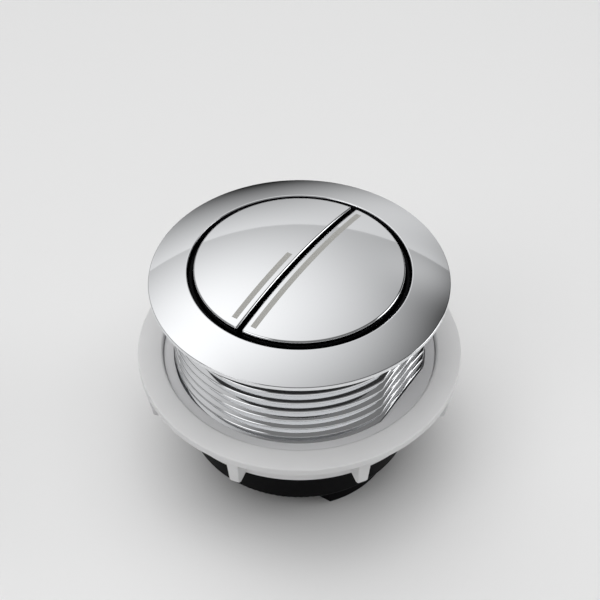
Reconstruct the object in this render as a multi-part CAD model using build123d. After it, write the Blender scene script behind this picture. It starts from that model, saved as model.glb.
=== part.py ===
"""Dual flush push button for a cistern lid.

A chrome bezel and threaded barrel goes down through the hole in the lid, and a flanged nut clamps it
from below. Two half-round buttons slide in a black guide housing inside the barrel, each with its own
pusher and pair of return springs. Millimetres, +Z up, origin on the axis at the bezel's seat on the lid.
The buttons meet along Y: the half flush button is on -X and the full flush button is on +X.
"""
import os
from math import sqrt

from build123d import *

# Threaded barrel: its thread sets the radii of everything inside and round it
THREAD_RADIUS = 31.75
THREAD_DEPTH = 1.8
THREAD_PITCH = 3.0
CREST_WIDTH = 0.5
GROOVE_WIDTH = 0.5
THREAD_START = 3.3
BARREL_LENGTH = 36.4
BARREL_WALL = 2.95
FLAT_DEPTH = 1.75

# Bezel: its lap is how far it reaches past the thread over the lid
BEZEL_LAP = 4.75
RIM_HEIGHT = 1.1
RIM_ROUND = 0.25
DOME_RADIUS = 127.0
BORE_EDGE_ROUND = 0.3

# Buttons
CAP_PROUD = 0.2
CAP_WALL = 2.0
CAP_EDGE_ROUND = 0.5
SKIRT_WALL = 1.8
SKIRT_DEPTH = 4.0
SLOT_WIDTH = 1.2
TRAVEL = 6.0

# Pushers: the leg is inset from the screws, and its catch from the leg's inner face
PLATE_THICKNESS = 2.0
LEG_INSET = 2.0
LEG_WALL = 2.4
LEG_BOTTOM = 58.0
FOOT_THICKNESS = 3.0
FOOT_ROUND = 0.6
RIB_COUNT = 5
RIB_THICKNESS = 1.8
CATCH_INSET = 0.65
CATCH_REACH = 0.9
CATCH_HEIGHT = 3.0
CATCH_LENGTH = 2.5

# Screws that hold each cap on its pusher: edge to the plate's rim, gap to the spring, cover over the tip
SCREW_EDGE = 3.69
SCREW_GAP = 1.3
SCREW_COVER = 0.46
SCREW_RADIUS = 1.2
SCREW_LENGTH = 6.0
SCREW_HEAD_RADIUS = 2.3
SCREW_HEAD_HEIGHT = 1.5
SCREW_SLOT_WIDTH = 0.6
BOSS_WALL = 1.4

# Return springs: edge is the plate left beside the seat, ledge is the deck left beside the coil
SPRING_EDGE = 1.3
SPRING_RADIUS = 3.1
WIRE_RADIUS = 0.4
SPRING_TURNS = 6
SPRING_SEAT_DEPTH = 0.8
POST_RADIUS = 2.0
DECK_LEDGE = 1.75

# Guide housing: the collar is a step smaller than the thread's root
SLEEVE_WALL = 0.95
SLEEVE_TOP = 2.1
SLEEVE_ROUND = 0.4
DECK_TOP = 20.0
DECK_THICKNESS = 2.4
COLLAR_STEP = 0.25
COLLAR_HEIGHT = 12.2
COLLAR_WALL = 2.0
COLLAR_SHOULDER = 2.2
COLLAR_ROUND = 0.5
SNAP_COUNT = 4
SNAP_ANGLE = 24.0
SNAP_DEPTH = 30.0
SNAP_HEIGHT = 2.0
SNAP_REACH = 0.5

# Clamp nut and slip washer: the washer's recess is a step wider than the bore
NUT_DROP = 22.36
RECESS_STEP = 2.65
RECESS_ROUND = 0.8
HUB_WALL = 1.5
HUB_DEPTH = 8.2
FLANGE_THICKNESS = 2.1
FLANGE_ROUND = 0.3
FIN_REACH = 4.9
FIN_COUNT = 8
FIN_TURN = 9.9
FIN_THICKNESS = 3.0
FIN_DRAFT = 1.7
FIN_TAPER = 1.1
FIN_CORNER = 0.9
FIN_ROUND = 0.4
WASHER_DROP = 1.3
WASHER_THICKNESS = 1.0

# Clearances
SLIDE_CLEARANCE = 0.3
SEAT_CLEARANCE = 0.3
THREAD_CLEARANCE = 0.3
WASHER_CLEARANCE = 0.3
WASHER_PLAY = 0.15
SPRING_CLEARANCE = 0.4
SCREW_CLEARANCE = 0.05
STOP_CLEARANCE = 0.3

# How far a feature reaches into the wall that carries it
BURY = 0.3


def dome_height(radius, apex):
    """Height of a dome with its top at the apex, at a radius from the axis."""
    return apex - DOME_RADIUS + sqrt(DOME_RADIUS**2 - radius**2)


# Radii that follow from the thread, going inwards and then outwards
ROOT_RADIUS = THREAD_RADIUS - THREAD_DEPTH
FLAT_DISTANCE = THREAD_RADIUS - FLAT_DEPTH
FLANK_SLOPE = (THREAD_PITCH - CREST_WIDTH - GROOVE_WIDTH) / 2 / THREAD_DEPTH
BORE_RADIUS = ROOT_RADIUS - BARREL_WALL
SLEEVE_OUTER = BORE_RADIUS - SEAT_CLEARANCE
SLEEVE_INNER = SLEEVE_OUTER - SLEEVE_WALL
CAP_RADIUS = SLEEVE_INNER - SLIDE_CLEARANCE
PLATE_RADIUS = CAP_RADIUS - SKIRT_WALL - SEAT_CLEARANCE
COLLAR_RADIUS = ROOT_RADIUS - COLLAR_STEP
BEZEL_RADIUS = THREAD_RADIUS + BEZEL_LAP
NUT_BORE = THREAD_RADIUS + THREAD_CLEARANCE
RECESS_RADIUS = NUT_BORE + RECESS_STEP
HUB_RADIUS = RECESS_RADIUS + HUB_WALL
FLANGE_RADIUS = HUB_RADIUS + FIN_REACH

# Places across one button, from the slot outwards, and along it
PLATE_FLAT = SLOT_WIDTH / 2 + SKIRT_WALL + SEAT_CLEARANCE
SPRING_INSET = PLATE_FLAT + SPRING_EDGE + SPRING_CLEARANCE + WIRE_RADIUS + SPRING_RADIUS
LEG_INNER = SPRING_INSET + SPRING_RADIUS + WIRE_RADIUS + DECK_LEDGE + SLIDE_CLEARANCE
SCREW_CIRCLE = PLATE_RADIUS - SCREW_EDGE
SCREW_OFFSET = sqrt(SCREW_CIRCLE**2 - SPRING_INSET**2)
SPRING_REACH = SPRING_RADIUS + WIRE_RADIUS + SPRING_CLEARANCE
SPRING_OFFSET = SCREW_OFFSET - SCREW_HEAD_RADIUS - SCREW_GAP - SPRING_REACH
LEG_HALF_WIDTH = SCREW_OFFSET - LEG_INSET

# Heights, from the dome down
BEZEL_APEX = RIM_HEIGHT + DOME_RADIUS - sqrt(DOME_RADIUS**2 - BEZEL_RADIUS**2)
CAP_APEX = BEZEL_APEX + CAP_PROUD
SCREW_TIP = dome_height(SCREW_CIRCLE, CAP_APEX) - SCREW_COVER - SCREW_CLEARANCE
PLATE_UNDER = SCREW_TIP - SCREW_LENGTH
PLATE_TOP = PLATE_UNDER + PLATE_THICKNESS
LEG_TOP = -SKIRT_DEPTH - SEAT_CLEARANCE
DECK_UNDER = -DECK_TOP - DECK_THICKNESS
SPRING_SEAT = PLATE_UNDER + SPRING_SEAT_DEPTH
POST_TOP = SPRING_SEAT - TRAVEL - STOP_CLEARANCE
COLLAR_BOTTOM = -BARREL_LENGTH - COLLAR_HEIGHT
NUT_TOP = -NUT_DROP
FLANGE_UNDER = NUT_TOP - FLANGE_THICKNESS
HUB_BOTTOM = FLANGE_UNDER - HUB_DEPTH
WASHER_TOP = NUT_TOP - WASHER_DROP
WASHER_UNDER = WASHER_TOP - WASHER_THICKNESS
RECESS_FLOOR = WASHER_UNDER - WASHER_CLEARANCE


def ring(outer, inner, low, high):
    """Plain ring about the axis between two heights."""
    disc = Circle(outer) - Circle(inner)
    return extrude(Pos(0, 0, low) * disc, high - low)


def turned(outline):
    """Solid of revolution from an outline drawn as radius and height."""
    return revolve(Plane.XZ * outline, Axis.Z)


def rounded(outline, corner, radius):
    """The outline with the corner nearest to a point rounded."""
    vertex = outline.vertices().sort_by_distance(Vector(*corner))[0]
    return fillet(vertex, radius)


def half_disc(radius, flat):
    """Half-round outline on +X, cut straight at a distance from the axis."""
    return Circle(radius) & Pos(flat + radius, 0) * Rectangle(2 * radius, 2 * radius)


def helical_ridge(foot_radius, tip_radius, foot_width, tip_width, start, height):
    """Trapezoidal ridge wound on a helix that rises through a height from a start level."""
    path = Pos(0, 0, start) * Helix(THREAD_PITCH, height, (foot_radius + tip_radius) / 2)
    section = make_face(
        Polyline(
            (foot_radius, 0, start - foot_width / 2),
            (tip_radius, 0, start - tip_width / 2),
            (tip_radius, 0, start + tip_width / 2),
            (foot_radius, 0, start + foot_width / 2),
            close=True,
        )
    )
    return sweep(section, path, is_frenet=True)


def bezel_barrel():
    """Domed bezel and threaded barrel, moulded and plated in one piece."""
    bore_top = dome_height(BORE_RADIUS, BEZEL_APEX)
    middle = (BORE_RADIUS + BEZEL_RADIUS) / 2
    outline = make_face(
        Polyline(
            (BORE_RADIUS, bore_top),
            (BORE_RADIUS, -BARREL_LENGTH),
            (ROOT_RADIUS, -BARREL_LENGTH),
            (ROOT_RADIUS, 0),
            (BEZEL_RADIUS, 0),
            (BEZEL_RADIUS, RIM_HEIGHT),
        )
        + ThreePointArc(
            (BEZEL_RADIUS, RIM_HEIGHT),
            (middle, dome_height(middle, BEZEL_APEX)),
            (BORE_RADIUS, bore_top),
        )
    )
    outline = rounded(outline, (BEZEL_RADIUS, RIM_HEIGHT), RIM_ROUND)
    outline = rounded(outline, (BEZEL_RADIUS, 0), RIM_ROUND)
    outline = rounded(outline, (BORE_RADIUS, bore_top), BORE_EDGE_ROUND)
    body = turned(outline)
    foot = ROOT_RADIUS - BURY
    foot_width = CREST_WIDTH + 2 * FLANK_SLOPE * (THREAD_DEPTH + BURY)
    thread_bottom = -BARREL_LENGTH - THREAD_PITCH
    thread_height = -THREAD_START - THREAD_PITCH / 2 - thread_bottom
    thread = helical_ridge(foot, THREAD_RADIUS, foot_width, CREST_WIDTH, thread_bottom, thread_height)
    flat_span = 2 * THREAD_RADIUS
    keep = Rectangle(2 * FLAT_DISTANCE, flat_span)
    thread &= extrude(Pos(0, 0, -BARREL_LENGTH) * keep, BARREL_LENGTH)
    groove = ring(
        SLEEVE_OUTER + SNAP_REACH + SEAT_CLEARANCE,
        BORE_RADIUS - BURY,
        -SNAP_DEPTH - SNAP_HEIGHT / 2 - SEAT_CLEARANCE,
        -SNAP_DEPTH + SNAP_HEIGHT / 2 + SEAT_CLEARANCE,
    )
    return body + thread - groove


def clamp_nut():
    """Flanged nut: threaded hub with grip fins under a thin flange, and a recess for the washer."""
    outline = make_face(
        Polyline(
            (NUT_BORE, HUB_BOTTOM),
            (HUB_RADIUS, HUB_BOTTOM),
            (HUB_RADIUS, FLANGE_UNDER),
            (FLANGE_RADIUS, FLANGE_UNDER),
            (FLANGE_RADIUS, NUT_TOP),
            (RECESS_RADIUS, NUT_TOP),
            (RECESS_RADIUS, RECESS_FLOOR),
            (NUT_BORE, RECESS_FLOOR),
            close=True,
        )
    )
    outline = rounded(outline, (FLANGE_RADIUS, NUT_TOP), FLANGE_ROUND)
    outline = rounded(outline, (FLANGE_RADIUS, FLANGE_UNDER), FLANGE_ROUND)
    outline = rounded(outline, (RECESS_RADIUS, NUT_TOP), RECESS_ROUND)
    nut = turned(outline)
    limit = make_face(
        Polyline(
            (HUB_RADIUS - BURY, HUB_BOTTOM),
            (FLANGE_RADIUS - FIN_TAPER, HUB_BOTTOM),
            (FLANGE_RADIUS, FLANGE_UNDER + BURY),
            (HUB_RADIUS - BURY, FLANGE_UNDER + BURY),
            close=True,
        )
    )
    limit = rounded(limit, (FLANGE_RADIUS - FIN_TAPER, HUB_BOTTOM), FIN_CORNER)
    fin_span = FLANGE_RADIUS - HUB_RADIUS + 2 * BURY
    fin_middle = HUB_RADIUS - BURY + fin_span / 2
    blank = Pos(fin_middle, 0, FLANGE_UNDER + BURY) * Rectangle(2 * fin_span, FIN_THICKNESS)
    fin = extrude(blank, HUB_DEPTH + BURY, dir=(0, 0, -1), taper=FIN_DRAFT) & turned(limit)
    low_edges = fin.edges().group_by(Axis.Z)[0].filter_by(Axis.X)
    fin = fillet(low_edges, FIN_ROUND)
    nut += [Rot(0, 0, FIN_TURN + 360 / FIN_COUNT * index) * fin for index in range(FIN_COUNT)]
    return nut + nut_thread()


def nut_thread():
    """Inner ridge of the nut, in the middle of the barrel's groove with clearance all round."""
    tip = ROOT_RADIUS + THREAD_CLEARANCE
    foot = NUT_BORE + BURY
    gap = THREAD_CLEARANCE * sqrt(1 + FLANK_SLOPE**2)
    tip_width = GROOVE_WIDTH + 2 * FLANK_SLOPE * THREAD_CLEARANCE - 2 * gap
    foot_width = tip_width + 2 * FLANK_SLOPE * (foot - tip)
    turns_below = (BARREL_LENGTH + THREAD_PITCH + HUB_BOTTOM) // THREAD_PITCH
    start = -BARREL_LENGTH - THREAD_PITCH + (turns_below - 0.5) * THREAD_PITCH
    height = RECESS_FLOOR - start + THREAD_PITCH
    ridge = helical_ridge(foot, tip, foot_width, tip_width, start, height)
    return ridge & ring(foot + BURY, tip - BURY, HUB_BOTTOM, RECESS_FLOOR)


def slip_washer():
    """Flat washer in the nut's recess, keyed to the barrel's two flats so that it can't turn."""
    key = max(FLAT_DISTANCE, ROOT_RADIUS) + THREAD_CLEARANCE
    hole = Circle(NUT_BORE) & Rectangle(2 * key, 2 * NUT_BORE)
    disc = Circle(RECESS_RADIUS - WASHER_PLAY) - hole
    return extrude(Pos(0, 0, WASHER_UNDER) * disc, WASHER_THICKNESS)


def spring_places():
    """Middle of each spring of the +X button, left one first as seen from the middle."""
    return [(SPRING_INSET, SPRING_OFFSET), (SPRING_INSET, -SPRING_OFFSET)]


def screw_places():
    """Middle of each cap screw of the +X button."""
    return [(SPRING_INSET, SCREW_OFFSET), (SPRING_INSET, -SCREW_OFFSET)]


def leg_outline(clearance=0.0):
    """Plan outline that holds the whole pusher leg, grown by a clearance."""
    width = 2 * (LEG_HALF_WIDTH + clearance)
    flat = LEG_INNER - clearance
    band = Pos(flat + CAP_RADIUS, 0) * Rectangle(2 * CAP_RADIUS, width)
    return Circle(CAP_RADIUS + clearance) & band


def guide_housing():
    """Black sleeve that lines the barrel, with a deck for the springs and a collar under the barrel."""
    skirt_inner = COLLAR_RADIUS - COLLAR_WALL
    shoulder_under = -BARREL_LENGTH - COLLAR_SHOULDER
    outline = make_face(
        Polyline(
            (SLEEVE_INNER, SLEEVE_TOP),
            (SLEEVE_OUTER, SLEEVE_TOP),
            (SLEEVE_OUTER, -BARREL_LENGTH),
            (COLLAR_RADIUS, -BARREL_LENGTH),
            (COLLAR_RADIUS, COLLAR_BOTTOM),
            (skirt_inner, COLLAR_BOTTOM),
            (skirt_inner, shoulder_under),
            (SLEEVE_INNER, shoulder_under),
            close=True,
        )
    )
    outline = rounded(outline, (SLEEVE_INNER, SLEEVE_TOP), SLEEVE_ROUND)
    outline = rounded(outline, (SLEEVE_OUTER, SLEEVE_TOP), SLEEVE_ROUND)
    outline = rounded(outline, (COLLAR_RADIUS, COLLAR_BOTTOM), COLLAR_ROUND)
    housing = turned(outline)
    deck = Circle(SLEEVE_INNER + BURY) - leg_outline(SLIDE_CLEARANCE)
    deck -= Rot(0, 0, 180) * leg_outline(SLIDE_CLEARANCE)
    housing += extrude(Pos(0, 0, DECK_UNDER) * deck, DECK_THICKNESS)
    for side in (0, 180):
        for x, y in spring_places():
            post = Pos(x, y, DECK_UNDER) * Circle(POST_RADIUS)
            housing += Rot(0, 0, side) * extrude(post, POST_TOP - DECK_UNDER)
    return housing + [snap_bead(index) for index in range(SNAP_COUNT)]


def snap_bead(index):
    """Wedge on the sleeve that clicks into the groove in the barrel's bore."""
    high = -SNAP_DEPTH + SNAP_HEIGHT / 2
    low = -SNAP_DEPTH - SNAP_HEIGHT / 2
    outline = make_face(
        Polyline(
            (SLEEVE_OUTER - BURY, low),
            (SLEEVE_OUTER + SNAP_REACH, low),
            (SLEEVE_OUTER, high),
            (SLEEVE_OUTER - BURY, high),
            close=True,
        )
    )
    start = 360 / SNAP_COUNT * (index + 0.5) - SNAP_ANGLE / 2
    return Rot(0, 0, start) * revolve(Plane.XZ * outline, Axis.Z, SNAP_ANGLE)


def cap():
    """Domed half-round button shell on +X with screw bosses, moulded and plated."""
    edge = dome_height(CAP_RADIUS, CAP_APEX)
    blank = extrude(Pos(0, 0, -SKIRT_DEPTH) * half_disc(CAP_RADIUS, SLOT_WIDTH / 2), SKIRT_DEPTH + CAP_APEX)
    dome = Pos(0, 0, CAP_APEX - DOME_RADIUS) * Sphere(DOME_RADIUS)
    shell = blank & dome
    rim = [line for line in shell.edges() if line.center().Z > edge - RIM_HEIGHT]
    shell = fillet(rim, CAP_EDGE_ROUND)
    inside = half_disc(CAP_RADIUS - SKIRT_WALL, SLOT_WIDTH / 2 + SKIRT_WALL)
    hollow = extrude(Pos(0, 0, -SKIRT_DEPTH) * inside, SKIRT_DEPTH + CAP_APEX)
    inner_dome = Pos(0, 0, CAP_APEX - DOME_RADIUS) * Sphere(DOME_RADIUS - CAP_WALL)
    shell -= hollow & inner_dome
    for x, y in screw_places():
        boss = Pos(x, y, PLATE_TOP) * Circle(SCREW_RADIUS + BOSS_WALL)
        shell += extrude(boss, CAP_APEX - PLATE_TOP) & inner_dome
        pilot = Pos(x, y, PLATE_TOP) * Circle(SCREW_RADIUS + SCREW_CLEARANCE)
        shell -= extrude(pilot, SCREW_TIP + SCREW_CLEARANCE - PLATE_TOP)
    return shell


def pusher():
    """Black pusher on +X: a plate screwed under the cap and a ribbed leg that ends in a foot."""
    plate = half_disc(PLATE_RADIUS, PLATE_FLAT)
    body = extrude(Pos(0, 0, PLATE_UNDER) * plate, PLATE_THICKNESS)
    leg = leg_outline()
    wall = leg - Circle(CAP_RADIUS - LEG_WALL)
    upper_wall = wall & Circle(PLATE_RADIUS)
    ribs = Sketch()
    rib_step = (2 * LEG_HALF_WIDTH - RIB_THICKNESS) / (RIB_COUNT - 1)
    for index in range(RIB_COUNT):
        place = index * rib_step - LEG_HALF_WIDTH + RIB_THICKNESS / 2
        ribs += leg & Pos(CAP_RADIUS, place) * Rectangle(2 * CAP_RADIUS, RIB_THICKNESS)
    foot_top = -LEG_BOTTOM + FOOT_THICKNESS
    section = wall + ribs
    upper_section = upper_wall + (ribs & Circle(PLATE_RADIUS))
    body += extrude(Pos(0, 0, LEG_TOP) * upper_section, PLATE_UNDER - LEG_TOP)
    body += extrude(Pos(0, 0, foot_top) * section, LEG_TOP - foot_top)
    foot = extrude(Pos(0, 0, -LEG_BOTTOM) * leg, FOOT_THICKNESS)
    body += fillet(foot.edges().group_by(Axis.Z)[0], FOOT_ROUND)
    for x, y in spring_places():
        seat = Pos(x, y, PLATE_UNDER) * Circle(SPRING_REACH)
        body -= extrude(seat, SPRING_SEAT_DEPTH)
    for x, y in screw_places():
        hole = Pos(x, y, PLATE_UNDER) * Circle(SCREW_RADIUS + SCREW_CLEARANCE)
        body -= extrude(hole, PLATE_THICKNESS)
    return body + catch(1) + catch(-1)


def catch(side):
    """Snap wedge on one end of the leg that stops the button under the deck."""
    end = LEG_HALF_WIDTH
    high = DECK_UNDER - STOP_CLEARANCE
    outline = make_face(
        Polyline(
            (0, side * (end - BURY), high),
            (0, side * (end + CATCH_REACH), high),
            (0, side * end, high - CATCH_HEIGHT),
            (0, side * (end - BURY), high - CATCH_HEIGHT),
            close=True,
        )
    )
    return Pos(LEG_INNER + CATCH_INSET, 0, 0) * extrude(outline, CATCH_LENGTH, dir=(1, 0, 0))


def spring(place):
    """Round wire coil between the deck and the seat in the pusher's plate."""
    low = -DECK_TOP + WIRE_RADIUS
    high = SPRING_SEAT - WIRE_RADIUS
    path = Helix((high - low) / SPRING_TURNS, high - low, SPRING_RADIUS)
    section = (path ^ 0) * Circle(WIRE_RADIUS)
    return Pos(*place, low) * sweep(section, path, is_frenet=True)


def cap_screws():
    """Pair of slotted self-tapping screws, put in from under the plate."""
    screws = []
    for x, y in screw_places():
        shank = extrude(Pos(x, y, PLATE_UNDER) * Circle(SCREW_RADIUS), SCREW_LENGTH)
        head_low = PLATE_UNDER - SCREW_HEAD_HEIGHT
        head = extrude(Pos(x, y, head_low) * Circle(SCREW_HEAD_RADIUS), SCREW_HEAD_HEIGHT)
        slot = Pos(x, y, head_low) * Rectangle(2 * SCREW_HEAD_RADIUS, SCREW_SLOT_WIDTH)
        screws.append(shank + head - extrude(slot, SCREW_HEAD_HEIGHT / 2))
    return Compound(screws)


def button_nodes(name, turn):
    """The nodes of one button, turned about the axis to its own side."""
    left, right = spring_places()
    nodes = {
        "cap": cap(),
        "pusher": pusher(),
        "spring_left": spring(left),
        "spring_right": spring(right),
        "cap_screws": cap_screws(),
    }
    return {f"{name}_{piece}": Rot(0, 0, turn) * solid for piece, solid in nodes.items()}


NODES = {
    "bezel_barrel": bezel_barrel(),
    "guide_housing": guide_housing(),
    "slip_washer": slip_washer(),
    "clamp_nut": clamp_nut(),
    **button_nodes("full_flush", 0),
    **button_nodes("half_flush", 180),
}

os.makedirs("parts", exist_ok=True)
for node, solid in NODES.items():
    export_step(solid, f"parts/{node}.step")
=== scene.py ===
from math import atan2, cos, degrees, hypot, pi, radians, sin, sqrt, tan

import bmesh
import bpy
from mathutils import Matrix, Vector


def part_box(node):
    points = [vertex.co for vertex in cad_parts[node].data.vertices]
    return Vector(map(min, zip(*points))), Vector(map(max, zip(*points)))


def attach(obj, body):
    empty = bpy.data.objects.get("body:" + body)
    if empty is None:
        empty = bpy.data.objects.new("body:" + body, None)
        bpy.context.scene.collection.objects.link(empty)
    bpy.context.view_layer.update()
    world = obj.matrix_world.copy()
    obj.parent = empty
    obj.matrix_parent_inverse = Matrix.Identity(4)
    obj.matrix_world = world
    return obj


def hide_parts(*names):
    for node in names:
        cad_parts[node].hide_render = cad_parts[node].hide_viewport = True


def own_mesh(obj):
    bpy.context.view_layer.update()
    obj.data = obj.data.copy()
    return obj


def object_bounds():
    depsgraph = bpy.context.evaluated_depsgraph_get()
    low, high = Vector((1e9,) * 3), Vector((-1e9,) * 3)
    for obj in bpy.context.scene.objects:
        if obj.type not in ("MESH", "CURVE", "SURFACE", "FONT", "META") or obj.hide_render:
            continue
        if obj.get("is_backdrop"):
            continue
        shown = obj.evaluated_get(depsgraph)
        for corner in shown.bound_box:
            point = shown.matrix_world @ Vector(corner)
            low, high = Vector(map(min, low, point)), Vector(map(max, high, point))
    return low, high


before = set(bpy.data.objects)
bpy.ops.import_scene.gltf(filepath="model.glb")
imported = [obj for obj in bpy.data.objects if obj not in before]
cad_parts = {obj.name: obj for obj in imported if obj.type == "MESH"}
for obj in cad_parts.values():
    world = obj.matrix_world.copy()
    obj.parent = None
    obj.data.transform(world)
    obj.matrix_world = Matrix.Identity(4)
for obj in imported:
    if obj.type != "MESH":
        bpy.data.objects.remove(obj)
cad_low, cad_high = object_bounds()


# Bezel and barrel
# One hollow moulding in hard plastic, plated with bright chrome: a domed ring that sits on the cistern lid,
# and a barrel that goes down through the lid with a coarse thread, cut by a flat on each side of the mould.
barrel_low, barrel_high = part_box("bezel_barrel")
BEZEL_RADIUS = barrel_high.x
BARREL_END = barrel_low.z
RIM_HEIGHT = 0.0011
RIM_ROUND = 0.00025
RIM_STEPS = 8
DOME_RADIUS = 0.127
DOME_CENTRE = RIM_HEIGHT - sqrt(DOME_RADIUS**2 - BEZEL_RADIUS**2)
DOME_STEPS = 20
BORE_RADIUS = 0.0270
BORE_EDGE_ROUND = 0.0003
BORE_EDGE_STEPS = 5
SNAP_GROOVE_RADIUS = 0.0275
SNAP_GROOVE_MIDDLE = -0.030
SNAP_GROOVE_WIDTH = 0.0026
THREAD_RADIUS = 0.03175
ROOT_RADIUS = 0.02995
PITCH = 0.003
CREST_HALF = 0.00025
ROOT_HALF = 0.00125
FLANK_SLOPE = (ROOT_HALF - CREST_HALF) / (THREAD_RADIUS - ROOT_RADIUS)
CREST_ROUND = 0.0002
ROOT_ROUND = 0.00022
FLANK_SHARE = 0.4
LAND_SHARE = 0.8
FLAT_DISTANCE = 0.0300
THREAD_TURNS = 11.533
SPARE_TURNS = 2.2
THREAD_FADE = radians(12)
NECK_LAP = 0.0310
COLUMNS = 240
LONG_RUN = 0.0005
STEADY = 0.00005
FLANK_STEADY = 0.04
WELD = 1e-7
LEVEL_SLACK = 10 * WELD
CREASE = radians(32)
CHROME = (0.80, 0.81, 0.825, 1)
BARE_PLASTIC = (0.004, 0.004, 0.0045, 1)
SEAT_DEPTH = 0.00003
POLISH_ROUGHNESS = 0.035
HAZE_ROUGHNESS = 0.03
HAZE_SPOTS = 0.009
RIPPLE_SPOTS = 0.006
RIPPLE_DEPTH = 0.00001
RIPPLE_STRENGTH = 0.15
FINE_DETAIL = 4.0


def arc(centre, radius, start, end, steps):
    """Points on an arc in the plane of radius and height, between two angles in degrees."""
    turns = [radians(start + (end - start) * step / steps) for step in range(steps + 1)]
    return [(centre[0] + radius * cos(turn), centre[1] + radius * sin(turn)) for turn in turns]


def dome_height(radius, lift=0.0, depth=0.0):
    """Height of the common dome at a radius, raised by a lift or going in by a wall's depth."""
    return DOME_CENTRE + lift + sqrt((DOME_RADIUS - depth) ** 2 - radius**2)


def skin(bm, loops):
    """Faces between closed loops of corners that follow each other."""
    for low, high in zip(loops, loops[1:]):
        for index in range(len(low)):
            before = index - 1
            bm.faces.new((low[before], low[index], high[index], high[before]))


def steadied(outline):
    """An outline with extra points near the ends of its long straight runs, so that they are shaded flat."""
    points = [Vector(outline[0])]
    for end in outline[1:]:
        start, end = points[-1], Vector(end)
        run = (end - start).length
        if run > LONG_RUN:
            points += [start.lerp(end, STEADY / run), start.lerp(end, 1 - STEADY / run)]
        points.append(end)
    return points


def spin(bm, outline):
    """Turn an outline of radius and height about the axis."""
    turns = [2 * pi * column / COLUMNS for column in range(COLUMNS)]
    loops = [[bm.verts.new((r * cos(t), r * sin(t), z)) for t in turns] for r, z in steadied(outline)]
    skin(bm, loops)


def softened(corner, before, after, setback):
    """A corner of an outline turned into a short curve that starts and ends at a setback."""
    corner, before, after = Vector(corner), Vector(before), Vector(after)
    start = corner + (before - corner).normalized() * setback
    end = corner + (after - corner).normalized() * setback
    shares = (0, 1 / 3, 2 / 3, 1)
    return [start * (1 - s) ** 2 + corner * 2 * s * (1 - s) + end * s**2 for s in shares]


def thread_section(base, tip, base_half, tip_half):
    """One pitch of a thread from the middle of one groove to the next, as radius and height."""
    ridge = [(base, -base_half), (tip, -tip_half), (tip, tip_half), (base, base_half)]
    corners = [(base, -PITCH / 2), *ridge, (base, PITCH / 2)]
    flank = hypot(tip - base, base_half - tip_half)
    crest_setback = min(CREST_ROUND, FLANK_SHARE * flank, LAND_SHARE * tip_half)
    root_setback = min(ROOT_ROUND, FLANK_SHARE * flank, LAND_SHARE * (PITCH / 2 - base_half))
    points = [Vector(corners[0])]
    for index, setback in ((1, root_setback), (2, crest_setback), (3, crest_setback), (4, root_setback)):
        curve = softened(*[corners[index + step] for step in (0, -1, 1)], setback)
        if index in (2, 4):
            points += [points[-1].lerp(curve[0], FLANK_STEADY), points[-1].lerp(curve[0], 1 - FLANK_STEADY)]
        points += curve
    return points


def wind(bm, level, turns, section_at):
    """Wind a thread's section up a helix: the top edge of each turn is the bottom edge of the next."""
    rows = []
    for column in range(round(turns * COLUMNS) + 1):
        turn = 2 * pi * column / COLUMNS
        lift = level + PITCH * column / COLUMNS
        points = section_at(turn)
        rows.append([bm.verts.new((r * cos(turn), r * sin(turn), lift + h)) for r, h in points])
    for column in range(len(rows) - 1):
        here, beyond = list(rows[column]), list(rows[column + 1])
        if column + 1 + COLUMNS < len(rows):
            here.append(rows[column + COLUMNS][0])
            beyond.append(rows[column + 1 + COLUMNS][0])
        for row in range(len(here) - 1):
            bm.faces.new((here[row], beyond[row], beyond[row + 1], here[row + 1]))


def barrel_section(turn):
    """The barrel's thread at a turn: the flats cut its crest, and it fades out under the bezel."""
    flat = FLAT_DISTANCE / max(abs(cos(turn)), WELD)
    tip = max(ROOT_RADIUS, min(THREAD_RADIUS, flat))
    share = (THREAD_TURNS * 2 * pi - turn) / THREAD_FADE
    tip = ROOT_RADIUS + (tip - ROOT_RADIUS) * max(0, min(1, share))
    return thread_section(ROOT_RADIUS, tip, ROOT_HALF, CREST_HALF + FLANK_SLOPE * (THREAD_RADIUS - tip))


def trim(bm, height, keep_above):
    """Cut the mesh level at a height and drop what lies on the other side."""
    everything = bm.verts[:] + bm.edges[:] + bm.faces[:]
    bmesh.ops.bisect_plane(
        bm,
        geom=everything,
        dist=WELD,
        plane_co=(0, 0, height),
        plane_no=(0, 0, 1),
        clear_inner=keep_above,
        clear_outer=not keep_above,
    )


def cover(bm, height):
    """Close the level ring between the open edges at a height."""
    open_edges = [e for e in bm.edges if e.is_boundary]
    edges = [e for e in open_edges if all(abs(v.co.z - height) < LEVEL_SLACK for v in e.verts)]
    bmesh.ops.triangle_fill(bm, use_beauty=True, edges=edges)


def smooth(mesh):
    """Smooth faces that meet in sharp corners."""
    mesh.shade_smooth()
    mesh.set_sharp_from_angle(angle=CREASE)


def made_piece(name, bm):
    """Turn a mesh into an object with smooth faces and sharp corners."""
    bmesh.ops.remove_doubles(bm, verts=bm.verts, dist=WELD)
    bmesh.ops.dissolve_degenerate(bm, edges=bm.edges, dist=WELD)
    bmesh.ops.recalc_face_normals(bm, faces=bm.faces)
    mesh = bpy.data.meshes.new(name)
    bm.to_mesh(mesh)
    bm.free()
    smooth(mesh)
    made = bpy.data.objects.new(name, mesh)
    bpy.context.scene.collection.objects.link(made)
    return made


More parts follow.
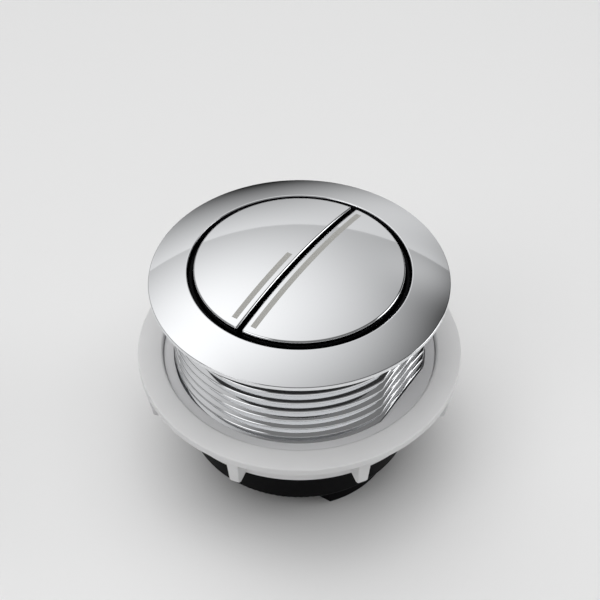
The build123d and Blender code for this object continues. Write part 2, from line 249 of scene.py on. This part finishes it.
class Wire:
    """A shader socket that takes part in Python sums: each operator adds its Math node."""

    def __init__(self, tree, socket=None):
        self.tree = tree
        self.socket = socket

    def add(self, kind, settings, sockets, output=0):
        """Add any node: its type, its settings, and what its sockets take, by name or number."""
        node = self.tree.nodes.new("ShaderNode" + kind)
        for name, value in settings.items():
            setattr(node, name, value)
        for name, value in sockets.items():
            self.plug(node.inputs[name], value)
        return Wire(self.tree, node.outputs[output])

    def plug(self, target, value):
        """Link a wire to a socket, or set the socket's own value."""
        if isinstance(value, Wire):
            self.tree.links.new(value.socket, target)
        else:
            target.default_value = value

    def maths(self, operation, *values):
        """Add a Math node on numbers and wires."""
        return self.add("Math", {"operation": operation}, dict(enumerate(values)))

    def mix(self, first, second):
        """Blend two colours, with this wire as the share of the second."""
        return self.add("Mix", {"data_type": "RGBA"}, {0: self, 6: first, 7: second}, 2)

    def __add__(self, other):
        return self.maths("ADD", self, other)

    def __sub__(self, other):
        return self.maths("SUBTRACT", self, other)

    def __rsub__(self, other):
        return self.maths("SUBTRACT", other, self)

    def __mul__(self, other):
        return self.maths("MULTIPLY", self, other)

    def __gt__(self, other):
        return self.maths("GREATER_THAN", self, other)

    def __lt__(self, other):
        return self.maths("LESS_THAN", self, other)

    __radd__ = __add__
    __rmul__ = __mul__


def new_finish(name):
    """An empty finish: the material, its shader's sockets and a wire for its sums."""
    material = bpy.data.materials.new(name)
    material.use_nodes = True
    return material, material.node_tree.nodes["Principled BSDF"].inputs, Wire(material.node_tree)


def grain(wire, size, detail=2.0):
    """Even noise with spots of a given size, fixed to the piece."""
    place = wire.add("TexCoord", {}, {}, "Object")
    return wire.add("TexNoise", {}, {"Vector": place, "Scale": 1 / size, "Detail": detail}, "Fac")


def relief(wire, height, depth, strength):
    """Surface normal of a shallow relief."""
    return wire.add("Bump", {}, {"Height": height, "Distance": depth, "Strength": strength}, "Normal")


def chrome_plate(name):
    """Bright chrome on a moulding: a mirror with a faint ripple and a trace of polishing haze."""
    material, sockets, wire = new_finish(name)
    sockets["Base Color"].default_value = CHROME
    sockets["Metallic"].default_value = 1.0
    haze = grain(wire, HAZE_SPOTS, FINE_DETAIL)
    roughness = POLISH_ROUGHNESS + HAZE_ROUGHNESS * haze * haze
    wire.plug(sockets["Roughness"], roughness)
    ripple = grain(wire, RIPPLE_SPOTS)
    wire.plug(sockets["Normal"], relief(wire, ripple, RIPPLE_DEPTH, RIPPLE_STRENGTH))
    return material, sockets, wire, roughness


def inside(value, low, high):
    """1 where a value lies between two limits."""
    return (value > low) * (value < high)


def seated_chrome():
    """The bezel's chrome, stopped off on its level seat, which stays bare black plastic."""
    material, sockets, wire, _ = chrome_plate("bright_chrome")
    place = wire.add("TexCoord", {}, {}, "Object")
    bare = inside(wire.add("SeparateXYZ", {}, {0: place}, "Z"), -SEAT_DEPTH, SEAT_DEPTH)
    wire.plug(sockets["Base Color"], bare.mix(CHROME, BARE_PLASTIC))
    wire.plug(sockets["Metallic"], 1 - bare)
    return material


def edge_ball(radius, ball):
    """Middle of a ball under the dome at a radius, and the lean of the dome where the ball touches it."""
    height = dome_height(radius, depth=ball)
    return (radius, height), degrees(atan2(height - DOME_CENTRE, radius))


def bezel_outline():
    """Section of the bezel and bore, from the foot of the bore over the dome to the seat on the lid."""
    inner_ball, inner_lean = edge_ball(BORE_RADIUS + BORE_EDGE_ROUND, BORE_EDGE_ROUND)
    rim_ball, rim_lean = edge_ball(BEZEL_RADIUS - RIM_ROUND, RIM_ROUND)
    groove_low = SNAP_GROOVE_MIDDLE - SNAP_GROOVE_WIDTH / 2
    groove_high = SNAP_GROOVE_MIDDLE + SNAP_GROOVE_WIDTH / 2
    outline = [
        (BORE_RADIUS, BARREL_END),
        (BORE_RADIUS, groove_low),
        (SNAP_GROOVE_RADIUS, groove_low),
        (SNAP_GROOVE_RADIUS, groove_high),
        (BORE_RADIUS, groove_high),
    ]
    inner_edge = arc(inner_ball, BORE_EDGE_ROUND, 180, inner_lean, BORE_EDGE_STEPS)
    outer_edge = arc(rim_ball, RIM_ROUND, rim_lean, 0, RIM_STEPS)
    first, last = inner_edge[-1][0], outer_edge[0][0]
    radii = [first + (last - first) * step / DOME_STEPS for step in range(1, DOME_STEPS)]
    dome = [(radius, dome_height(radius)) for radius in [first + STEADY, *radii, last - STEADY]]
    lower_edge = arc((BEZEL_RADIUS - RIM_ROUND, RIM_ROUND), RIM_ROUND, 0, -90, RIM_STEPS)
    return outline + inner_edge + dome + outer_edge + lower_edge + [(NECK_LAP, 0)]


bm = bmesh.new()
wind(bm, BARREL_END - PITCH, THREAD_TURNS + SPARE_TURNS, barrel_section)
trim(bm, BARREL_END, True)
trim(bm, 0, False)
spin(bm, bezel_outline())
cover(bm, BARREL_END)
cover(bm, 0)
chrome_bezel = made_piece("chrome_bezel", bm)
chrome_bezel.data.materials.append(seated_chrome())
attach(chrome_bezel, "barrel")
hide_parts("bezel_barrel")


# Guide housing and pushers
# Black injection mouldings: a sleeve that lines the barrel and shows as the dark ring round the buttons,
# with its collar under the barrel, and under each button a ribbed pusher that passes through the collar.
BLACK = (0.0025, 0.0025, 0.003, 1)
BLACK_SPECULAR = 0.035
BLACK_ROUGHNESS = 0.34
BLACK_UNEVEN = 0.12
BLACK_SPOTS = 0.004
BLACK_GRAIN = 0.0003
BLACK_GRAIN_DEPTH = 0.00002
BLACK_GRAIN_STRENGTH = 0.25


def black_moulding(name):
    """Black plastic as it leaves a fine-eroded mould: a low sheen with a faint grain."""
    material, sockets, wire = new_finish(name)
    sockets["Base Color"].default_value = BLACK
    sockets["Specular IOR Level"].default_value = BLACK_SPECULAR
    uneven = grain(wire, BLACK_SPOTS, FINE_DETAIL)
    wire.plug(sockets["Roughness"], BLACK_ROUGHNESS + BLACK_UNEVEN * uneven)
    fine = grain(wire, BLACK_GRAIN)
    wire.plug(sockets["Normal"], relief(wire, fine, BLACK_GRAIN_DEPTH, BLACK_GRAIN_STRENGTH))
    return material


def dress(node, material):
    """Give a piece that keeps its plain shape one finish all over."""
    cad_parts[node].data.materials.clear()
    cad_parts[node].data.materials.append(material)


black = black_moulding("black_plastic")
for node in ("guide_housing", "full_flush_pusher", "half_flush_pusher"):
    dress(node, black)


# Return springs
# Four coils of round stainless wire between the housing's deck and the pushers' plates.
# They are loose over their posts. They are made at their rest length and go with the barrel, so they don't
# shorten with their button.
WIRE_RADIUS = 0.0004
WIRE_SIDES = 12
TURN_STEPS = 40
SPRING_TURNS = 6
SPRING_SHADE = 0.55
STEEL_BLUE = 1.02
STEEL_ROUGHNESS = 0.22
STEEL_UNEVEN = 0.2
STEEL_SPOTS = 0.0008
STEEL_DETAIL = 5.0


def steel(name, shade):
    """Bare stainless steel with a fine uneven sheen."""
    material, sockets, wire = new_finish(name)
    sockets["Base Color"].default_value = (shade, shade, shade * STEEL_BLUE, 1)
    sockets["Metallic"].default_value = 1.0
    uneven = grain(wire, STEEL_SPOTS, STEEL_DETAIL)
    wire.plug(sockets["Roughness"], STEEL_ROUGHNESS + STEEL_UNEVEN * uneven)
    return material


def coil(bm, low, high):
    """Round wire wound inside the box between two corners."""
    middle = (low + high) / 2
    radius = (high.x - low.x) / 2 - WIRE_RADIUS
    rise = high.z - low.z - 2 * WIRE_RADIUS
    sides = [2 * pi * side / WIRE_SIDES for side in range(WIRE_SIDES)]
    loops = []
    for step in range(SPRING_TURNS * TURN_STEPS + 1):
        turn = 2 * pi * step / TURN_STEPS
        outward = Vector((cos(turn), sin(turn), 0))
        along = Vector((-sin(turn), cos(turn), rise / SPRING_TURNS / (2 * pi * radius))).normalized()
        upward = outward.cross(along)
        lift = low.z + WIRE_RADIUS + rise * step / (SPRING_TURNS * TURN_STEPS)
        centre = Vector((middle.x, middle.y, lift)) + outward * radius
        spokes = [outward * cos(side) + upward * sin(side) for side in sides]
        loops.append([bm.verts.new(centre + WIRE_RADIUS * spoke) for spoke in spokes])
    skin(bm, loops)
    bm.faces.new(loops[0])
    bm.faces.new(loops[-1])


spring_steel = steel("spring_wire", SPRING_SHADE)
for side in ("full_flush", "half_flush"):
    for end in ("left", "right"):
        node = f"{side}_spring_{end}"
        low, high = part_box(node)
        bm = bmesh.new()
        coil(bm, low, high)
        spring = made_piece(f"{side}_coil_{end}", bm)
        spring.data.materials.append(spring_steel)
        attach(spring, "barrel")
        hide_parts(node)
        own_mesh(spring)


# Buttons
# Two half-round shells in plated plastic like the bezel, with softly rounded edges and a straight slot
# between them. Each has a plain printed bar beside the slot, short for the half flush, long for the full.
CAP_RADIUS = 0.02545
CAP_LIFT = 0.0002
CAP_WALL = 0.002
CAP_EDGE_ROUND = 0.0005
CAP_CORNER = 0.00055
SKIRT_WALL = 0.0018
SKIRT_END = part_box("full_flush_cap")[0].z
SLOT_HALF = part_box("full_flush_cap")[0].x
ROUND_STEPS = 150
CORNER_STEPS = 8
STRAIGHT_STEPS = 60
CAP_RINGS = 26
CEILING_RINGS = 4
EDGE_STEPS = 6
RING_STEADY = 0.997
CAP_MIDDLE = Vector((0.0105, 0))
BAR_GREY = (0.360, 0.357, 0.337, 1)
BAR_WIDTH = 0.00144
SHORT_BAR = (-0.00277, -0.0233, 0.0001)
LONG_BAR = (0.00261, -0.0235, 0.0235)
BAR_MATT = 0.35
BAR_COVER = 0.9


def half_round(radius, flat, corner):
    """Outline of a half disc on +X with softened corners: places and outward directions, in order."""
    across = flat + corner
    along = sqrt((radius - corner) ** 2 - across**2)
    lean = atan2(along, across)
    places = []
    for step in range(ROUND_STEPS):
        turn = lean * (2 * step / ROUND_STEPS - 1)
        outward = Vector((cos(turn), sin(turn)))
        places.append((radius * outward, outward))
    for side in (1, -1):
        start, end = (lean, pi) if side > 0 else (pi, 2 * pi - lean)
        for step in range(CORNER_STEPS):
            turn = start + (end - start) * step / CORNER_STEPS
            outward = Vector((cos(turn), sin(turn)))
            places.append((Vector((across, side * along)) + corner * outward, outward))
        if side > 0:
            for step in range(STRAIGHT_STEPS):
                places.append((Vector((flat, along * (1 - 2 * step / STRAIGHT_STEPS))), Vector((-1, 0))))
    return places


def dome_rings(bm, places, depth, rings):
    """Loops that shrink from an outline to the middle of a button over its dome, and the middle corner."""
    loops = []
    for share in [1, RING_STEADY] + [1 - ring / rings for ring in range(1, rings)]:
        flat_places = [CAP_MIDDLE + (place - CAP_MIDDLE) * share for place in places]
        heights = [dome_height(place.length, CAP_LIFT, depth) for place in flat_places]
        loops.append([bm.verts.new((*p, h)) for p, h in zip(flat_places, heights)])
    middle = bm.verts.new((*CAP_MIDDLE, dome_height(CAP_MIDDLE.length, CAP_LIFT, depth)))
    return loops, middle


def rounded_edge(place, outward, share):
    """A point of the edge between the wall and the dome, from the wall at share 0 to the dome at 1."""
    centre = place - outward * CAP_EDGE_ROUND
    height = dome_height(centre.length, CAP_LIFT, CAP_EDGE_ROUND)
    ball = Vector((*centre, height))
    up = (ball - Vector((0, 0, DOME_CENTRE + CAP_LIFT))).normalized()
    return ball + CAP_EDGE_ROUND * Vector((*outward, 0)).slerp(up, share)


def button_shell(bm):
    """The shell of the +X button, from the middle of its top over the edge to the middle inside."""
    outer = half_round(CAP_RADIUS, SLOT_HALF, CAP_CORNER)
    inner = half_round(CAP_RADIUS - SKIRT_WALL, SLOT_HALF + SKIRT_WALL, CAP_CORNER)
    crown = [rounded_edge(place, outward, 1).to_2d() for place, outward in outer]
    loops, top = dome_rings(bm, crown, 0, CAP_RINGS)
    loops.reverse()
    for step in reversed(range(EDGE_STEPS)):
        edge = [rounded_edge(place, outward, step / EDGE_STEPS) for place, outward in outer]
        loops.append([bm.verts.new(corner) for corner in edge])
    loops.append([bm.verts.new((*place, SKIRT_END)) for place, _ in outer])
    loops.append([bm.verts.new((*place, SKIRT_END)) for place, _ in inner])
    ceiling, under = dome_rings(bm, [place for place, _ in inner], CAP_WALL, CEILING_RINGS)
    loops += ceiling
    skin(bm, loops)
    for loop, tip in ((loops[0], top), (loops[-1], under)):
        for index in range(len(loop)):
            bm.faces.new((loop[index - 1], loop[index], tip))


def marked_chrome():
    """The buttons' chrome with its two printed bars."""
    material, sockets, wire, roughness = chrome_plate("marked_chrome")
    place = wire.add("TexCoord", {}, {}, "Object")
    x = wire.add("SeparateXYZ", {}, {0: place}, "X")
    y = wire.add("SeparateXYZ", {}, {0: place}, "Y")
    bars = 0
    for middle, start, end in (SHORT_BAR, LONG_BAR):
        across = inside(x, middle - BAR_WIDTH / 2, middle + BAR_WIDTH / 2)
        bars = bars + across * inside(y, start, end)
    wire.plug(sockets["Base Color"], bars.mix(CHROME, BAR_GREY))
    wire.plug(sockets["Metallic"], 1 - BAR_COVER * bars)
    wire.plug(sockets["Roughness"], roughness + BAR_MATT * bars)
    return material


marked = marked_chrome()
for side, turn in (("full_flush", 0), ("half_flush", pi)):
    bm = bmesh.new()
    button_shell(bm)
    bmesh.ops.rotate(bm, verts=bm.verts, matrix=Matrix.Rotation(turn, 3, "Z"))
    button = made_piece(f"{side}_button", bm)
    button.data.materials.append(marked)
    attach(button, side)
    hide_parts(f"{side}_cap")


# Cap screws
# Two small stainless screws a button, with a slotted head. They go up through the pusher's plate and cut
# their own thread in the cap's bosses, so that the pusher hangs on its button.
SCREW_SHADE = 0.6
screw_steel = steel("screw_steel", SCREW_SHADE)
for node in ("full_flush_cap_screws", "half_flush_cap_screws"):
    dress(node, screw_steel)


# Slip washer
# A thin washer punched from pale sheet, loose in the nut's recess, so that the turning nut doesn't scuff
# the lid. Its hole has two straight sides that slide down the barrel's flats and keep it from turning.
washer_low, washer_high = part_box("slip_washer")
WASHER_HOLE = 0.03205
WASHER_KEY = 0.0303
WASHER_EDGE = 0.00005
WASHER_TINT = (0.75, 0.75, 0.76, 1)
WASHER_GRAIN = 0.0006
WASHER_ROUGHNESS = 0.32
TONE_SPOTS = 0.012
TONE_DETAIL = 3.0
TONE_DARK = 0.93
PALE_SPOTS = 0.003
PALE_UNEVEN = 0.12
PALE_GRAIN_DEPTH = 0.00003
PALE_GRAIN_STRENGTH = 0.35


def washer_hole(turn):
    """Radius of the washer's hole at a turn."""
    return min(WASHER_HOLE, WASHER_KEY / max(abs(cos(turn)), WELD))


def washer_loops(bm):
    """Closed section of the washer, one loop for each of its softened corners."""
    low, high, edge = washer_low.z, washer_high.z, WASHER_EDGE
    rim = [(-edge, low), (0, low + edge), (0, high - edge), (-edge, high)]
    hole = [(edge, high), (0, high - edge), (0, low + edge), (edge, low)]
    turns = [2 * pi * column / COLUMNS for column in range(COLUMNS)]
    loops = []
    for side, corners in ((lambda turn: washer_high.x, rim), (washer_hole, hole)):
        for step, height in corners:
            radii = [side(t) + step for t in turns]
            loops.append([bm.verts.new((r * cos(t), r * sin(t), height)) for r, t in zip(radii, turns)])
    return loops


def pale_plastic(name, tint, grain_size, roughness):
    """Pale moulded plastic, with a little uneven tone and a fine grain."""
    material, sockets, wire = new_finish(name)
    tone = grain(wire, TONE_SPOTS, TONE_DETAIL)
    darker = tuple(TONE_DARK * value for value in tint[:3]) + (1,)
    wire.plug(sockets["Base Color"], tone.mix(darker, tint))
    uneven = grain(wire, PALE_SPOTS, FINE_DETAIL)
    wire.plug(sockets["Roughness"], roughness + PALE_UNEVEN * uneven)
    fine = grain(wire, grain_size, FINE_DETAIL)
    wire.plug(sockets["Normal"], relief(wire, fine, PALE_GRAIN_DEPTH, PALE_GRAIN_STRENGTH))
    return material


bm = bmesh.new()
loops = washer_loops(bm)
skin(bm, loops + loops[:1])
washer = made_piece("pale_washer", bm)
washer_sheet = pale_plastic("washer_sheet", WASHER_TINT, WASHER_GRAIN, WASHER_ROUGHNESS)
washer.data.materials.append(washer_sheet)
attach(washer, "washer")
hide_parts("slip_washer")


# Clamp nut
# A pale grey moulding that pulls the bezel down on the lid: a thin flange with a recess for the washer, and
# under it a threaded hub with eight tapered fins to grip by hand.
nut_low, nut_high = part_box("clamp_nut")
FLANGE_RADIUS = nut_high.x
NUT_TOP = nut_high.z
HUB_END = nut_low.z
FLANGE_THICKNESS = 0.0021
FLANGE_UNDER = NUT_TOP - FLANGE_THICKNESS
HUB_RADIUS = 0.0362
HUB_ROUND = 0.0003
HUB_STEPS = 4
RECESS_RADIUS = 0.0347
RECESS_DEPTH = 0.0026
RECESS_FLOOR = NUT_TOP - RECESS_DEPTH
RECESS_ROUND = 0.0008
RECESS_STEPS = 10
FLANGE_ROUND = 0.0003
FLANGE_STEPS = 5
NUT_BORE = 0.03205
NUT_TIP = 0.03025
NUT_TIP_HALF = 0.0000735
NUT_TURNS = 6
NUT_BASE_HALF = NUT_TIP_HALF + FLANK_SLOPE * (NUT_BORE - NUT_TIP)
FIN_COUNT = 8
FIN_TURN = 9.9
FIN_HALF = 0.0015
FIN_DRAFT = tan(radians(1.7))
FIN_TAPER = 0.0011
FIN_CORNER = 0.0009
FIN_CORNER_END = -7
FIN_CORNER_STEPS = 5
FIN_SOFT = 0.00035
FIN_SOFT_STEPS = 3
BURY = 0.0003
NUT_GREY = (0.76, 0.76, 0.763, 1)
NUT_GRAIN = 0.0005
NUT_ROUGHNESS = 0.42


def nut_outline():
    """Section of the nut outside its bore, from the foot of the hub round the flange to the recess."""
    flange = FLANGE_RADIUS - FLANGE_ROUND
    return (
        [(NUT_BORE + HUB_ROUND, HUB_END)]
        + arc((HUB_RADIUS - HUB_ROUND, HUB_END + HUB_ROUND), HUB_ROUND, -90, 0, HUB_STEPS)
        + arc((HUB_RADIUS + HUB_ROUND, FLANGE_UNDER - HUB_ROUND), HUB_ROUND, 180, 90, HUB_STEPS)
        + arc((flange, FLANGE_UNDER + FLANGE_ROUND), FLANGE_ROUND, -90, 0, FLANGE_STEPS)
        + arc((flange, NUT_TOP - FLANGE_ROUND), FLANGE_ROUND, 0, 90, FLANGE_STEPS)
        + arc((RECESS_RADIUS + RECESS_ROUND, NUT_TOP - RECESS_ROUND), RECESS_ROUND, 90, 180, RECESS_STEPS)
        + [(RECESS_RADIUS, RECESS_FLOOR), (NUT_BORE + HUB_ROUND, RECESS_FLOOR)]
    )


def fin(bm, turn):
    """One grip fin: thinner and shorter towards its foot, sunk a little into the flange and the hub."""
    top = FLANGE_UNDER + BURY
    outer = FLANGE_RADIUS - FIN_TAPER
    corner = (outer - FIN_CORNER, HUB_END + FIN_CORNER)
    outline = [(HUB_RADIUS - BURY, HUB_END)]
    outline += arc(corner, FIN_CORNER, -90, FIN_CORNER_END, FIN_CORNER_STEPS)
    outline += [(FLANGE_RADIUS, top), (HUB_RADIUS - BURY, top)]
    faces = []
    for side in (1, -1):
        corners = []
        for radius, height in outline:
            across = side * (FIN_HALF - FIN_DRAFT * (top - height))
            corners.append(bm.verts.new((sqrt(radius**2 - across**2), across, height)))
        faces.append(bm.faces.new(corners))
    skin(bm, [list(face.verts) for face in faces])
    sides = [e for face in faces for e in face.edges]
    lower = [e for e in sides if max(v.co.z for v in e.verts) < top - WELD]
    outward = [e for e in sides if min(v.co.x for v in e.verts) > HUB_RADIUS]
    edges = [e for e in dict.fromkeys(lower + outward) if max(v.co.x for v in e.verts) > HUB_RADIUS]
    bmesh.ops.bevel(bm, geom=edges, offset=FIN_SOFT, segments=FIN_SOFT_STEPS, affect="EDGES", profile=0.5)
    bmesh.ops.rotate(bm, verts=bm.verts, matrix=Matrix.Rotation(turn, 3, "Z"))


def fuse(target, tool):
    """Join a second closed mesh into a first one, and take the second one away."""
    fusion = target.modifiers.new("fusion", "BOOLEAN")
    fusion.operation = "UNION"
    fusion.solver = "EXACT"
    fusion.object = tool
    shape = target.evaluated_get(bpy.context.evaluated_depsgraph_get())
    joined = bpy.data.meshes.new_from_object(shape)
    target.modifiers.clear()
    target.data = joined
    bpy.data.objects.remove(tool)


def nut_section(turn):
    """The nut's thread, the same at every turn."""
    return thread_section(NUT_BORE, NUT_TIP, NUT_BASE_HALF, NUT_TIP_HALF)


bm = bmesh.new()
wind(bm, BARREL_END - PITCH / 2, NUT_TURNS, nut_section)
trim(bm, HUB_END, True)
trim(bm, RECESS_FLOOR, False)
spin(bm, nut_outline())
cover(bm, HUB_END)
cover(bm, RECESS_FLOOR)
nut = made_piece("flange_nut", bm)
fins = bmesh.new()
for index in range(FIN_COUNT):
    one = bmesh.new()
    fin(one, radians(FIN_TURN + 360 / FIN_COUNT * index))
    single = bpy.data.meshes.new("fin")
    one.to_mesh(single)
    one.free()
    fins.from_mesh(single)
    bpy.data.meshes.remove(single)
fuse(nut, made_piece("nut_fins", fins))
smooth(nut.data)
nut.data.materials.clear()
nut.data.materials.append(pale_plastic("nut_plastic", NUT_GREY, NUT_GRAIN, NUT_ROUGHNESS))
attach(nut, "nut")
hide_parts("clamp_nut")


# Studio
# A plain pale paper floor in an even grey room, with a broad soft screen behind the button, soft boxes at
# the left and right, and one lamp overhead that reflections leave out. The chrome shows the floor and room
# as the camera does. Each light is listed with its azimuth and elevation, seen from the camera.
VIEW_TURN = 32.7
VIEW_RISE = 44.35
FLOOR_LEVEL = cad_low.z
FLOOR_SIZE = 6.0
FLOOR_TINT = (0.8, 0.8, 0.8, 1)
SCREEN_PLACE = (-21.8, 56.5)
SCREEN_STRENGTH = 1.041
SCREEN_FALL = 3.874
SCREEN_EDGE = 29.1
SCREEN_STEP = 0.231
GLOWS = {
    "upper_left": ((-45.7, 52.7), 0.282, 18.8),
    "low": ((22, 5.2), 1.127, 15.2),
    "right": ((30.8, 33.7), 0.298, 89.3),
}
SOFT_BOXES = {
    "front_left": ((-130, 40), 1.7, 15, 3),
    "right": ((83, 18), 2.7, 15, 4),
    "left": ((-85, 48), 0.2, 20, 10),
    "room": ((180, -44), 0.2, 128, 8),
}
LAMP_PLACE = (180, 83)
LAMP_SIZE = 1.2
LAMP_ENERGY = 6.8


def toward(azimuth, elevation):
    """Direction at an angle to the right of straight ahead of the camera, and above the horizon."""
    turn, rise = radians(azimuth - VIEW_TURN), radians(elevation)
    return Vector((sin(turn) * cos(rise), cos(turn) * cos(rise), sin(rise)))


bm = bmesh.new()
level = Matrix.Translation((0, 0, FLOOR_LEVEL))
bmesh.ops.create_grid(bm, x_segments=1, y_segments=1, size=FLOOR_SIZE / 2, matrix=level)
floor = made_piece("floor", bm)
paper, sockets, _ = new_finish("floor_paper")
sockets["Base Color"].default_value = FLOOR_TINT
sockets["Roughness"].default_value = 1.0
sockets["Specular IOR Level"].default_value = 0.0
floor.data.materials.append(paper)
floor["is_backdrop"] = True

world = bpy.data.worlds.new("studio")
world.use_nodes = True
bpy.context.scene.world = world
sky = Wire(world.node_tree)
look = sky.add("TexCoord", {}, {}, "Generated")


def facing(direction):
    """Cosine between the ray and a direction."""
    return sky.add("VectorMath", {"operation": "DOT_PRODUCT"}, {0: look, 1: direction}, "Value")


def glow(place, strength, focus):
    """Soft light that fades away from its middle."""
    return strength * sky.maths("EXPONENT", (facing(toward(*place)) - 1) * focus)


def soft_box(place, strength, spread, edge):
    """Round light of even strength out to an angle from its middle, with a soft edge."""
    sockets = {
        "Value": facing(toward(*place)),
        "From Min": cos(radians(spread + edge)),
        "From Max": cos(radians(spread - edge)),
        "To Max": strength,
    }
    return sky.add("MapRange", {"interpolation_type": "SMOOTHSTEP"}, sockets)


height = sky.add("SeparateXYZ", {}, {0: look}, "Z")
screen = SCREEN_STRENGTH - SCREEN_FALL * (1 - facing(toward(*SCREEN_PLACE)))
screen = screen + SCREEN_STEP * (height < sin(radians(SCREEN_EDGE)))
for values in GLOWS.values():
    screen = screen + glow(*values)
light = sky.maths("MAXIMUM", screen, 0)
for values in SOFT_BOXES.values():
    light = light + soft_box(*values)
sky.plug(world.node_tree.nodes["Background"].inputs["Color"], light)

lamp_data = bpy.data.lights.new("overhead_lamp", "AREA")
lamp_data.shape = "DISK"
lamp_data.size = LAMP_SIZE
lamp_data.energy = LAMP_ENERGY
lamp = bpy.data.objects.new("overhead_lamp", lamp_data)
lamp.location = toward(*LAMP_PLACE)
lamp.rotation_euler = (-lamp.location).to_track_quat("-Z", "Y").to_euler()
lamp.visible_glossy = False
bpy.context.scene.collection.objects.link(lamp)


# Camera
# A short telephoto lens that looks down on the button from in front, as for a catalogue picture. The slot
# between the buttons runs away to the right.
CAMERA_DISTANCE = 0.29418
CAMERA_AIM = Vector((0.000123, 0.000079, -0.00751))
SENSOR_WIDTH = 36.0
LENS_LENGTH = 71.56
NEAREST = 0.01
camera_data = bpy.data.cameras.new("camera")
camera_data.sensor_width = SENSOR_WIDTH
camera_data.lens = LENS_LENGTH
camera_data.clip_start = NEAREST
camera = bpy.data.objects.new("camera", camera_data)
camera.location = CAMERA_AIM - toward(0, -VIEW_RISE) * CAMERA_DISTANCE
camera.rotation_euler = (radians(90 - VIEW_RISE), 0, radians(VIEW_TURN))
bpy.context.scene.collection.objects.link(camera)
bpy.context.scene.camera = camera
bpy.context.scene.view_settings.view_transform = "Standard"

low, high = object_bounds()
